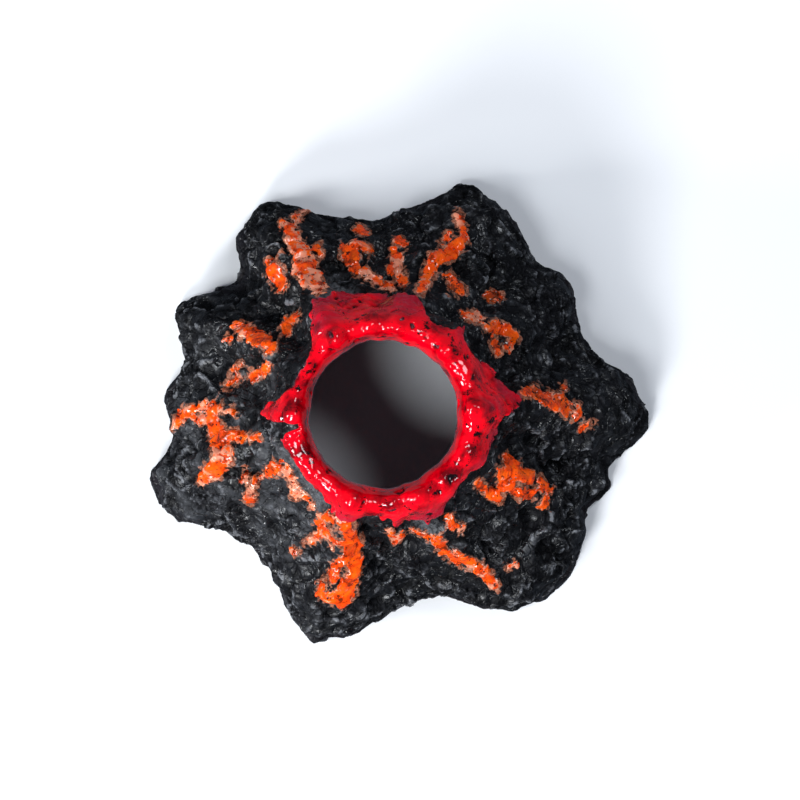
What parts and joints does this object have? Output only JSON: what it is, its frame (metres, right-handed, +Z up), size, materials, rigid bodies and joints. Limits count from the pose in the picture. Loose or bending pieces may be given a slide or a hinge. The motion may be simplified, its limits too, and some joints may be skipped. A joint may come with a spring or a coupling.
{
  "type": "hollow volcano aquarium cave ornament",
  "caption": "Hollow cast resin volcano for an aquarium, dark craggy rock with an open crater, a thick glossy red lava collar and raised orange lava runs on its ridges",
  "frame": {"origin": "middle of the footprint's bounding box, on the plane that the foot rests on", "axes": "+Z up through the crater, +X along the longest extent towards the long east ridge, +Y towards the north ridge"},
  "size_m": [0.1602, 0.1442, 0.083],
  "materials": {
    "rock_resin": "matte charcoal cast resin with grey dry-brushed edges",
    "red_lava_gloss": "thick glossy red coat with pits and pink worn edges",
    "orange_lava_gloss": "thick glossy orange enamel, scraped through to pale pink and to black rock"
  },
  "bodies": {
    "root": {"rock_shell": "rock_resin", "crater_lava_collar": "red_lava_gloss", "lava_run_north_west_ridge": "orange_lava_gloss", "lava_run_north_west_side": "orange_lava_gloss", "lava_run_north_crag": "orange_lava_gloss", "lava_run_north_crumb": "orange_lava_gloss", "lava_run_north_fork_west": "orange_lava_gloss", "lava_run_north_fork_east": "orange_lava_gloss", "lava_run_north_ridge": "orange_lava_gloss", "lava_run_north_east_patch": "orange_lava_gloss", "lava_run_north_east_upper": "orange_lava_gloss", "lava_run_north_east_lower": "orange_lava_gloss", "lava_run_east_ridge": "orange_lava_gloss", "lava_run_east_crumb": "orange_lava_gloss", "lava_run_south_east_crag": "orange_lava_gloss", "lava_run_south_east_spots": "orange_lava_gloss", "lava_run_south_east_ridge": "orange_lava_gloss", "lava_run_south_drip": "orange_lava_gloss", "lava_run_south_ridge": "orange_lava_gloss", "lava_run_south_branch": "orange_lava_gloss", "lava_run_south_west_flecks": "orange_lava_gloss", "lava_run_south_west_streak": "orange_lava_gloss", "lava_run_west_ridge": "orange_lava_gloss", "lava_run_west_upper": "orange_lava_gloss", "lava_run_west_spot": "orange_lava_gloss", "lava_run_west_outer_spot": "orange_lava_gloss", "lava_run_north_west_streak": "orange_lava_gloss", "lava_run_north_west_rim": "orange_lava_gloss"}
  },
  "joints": []
}
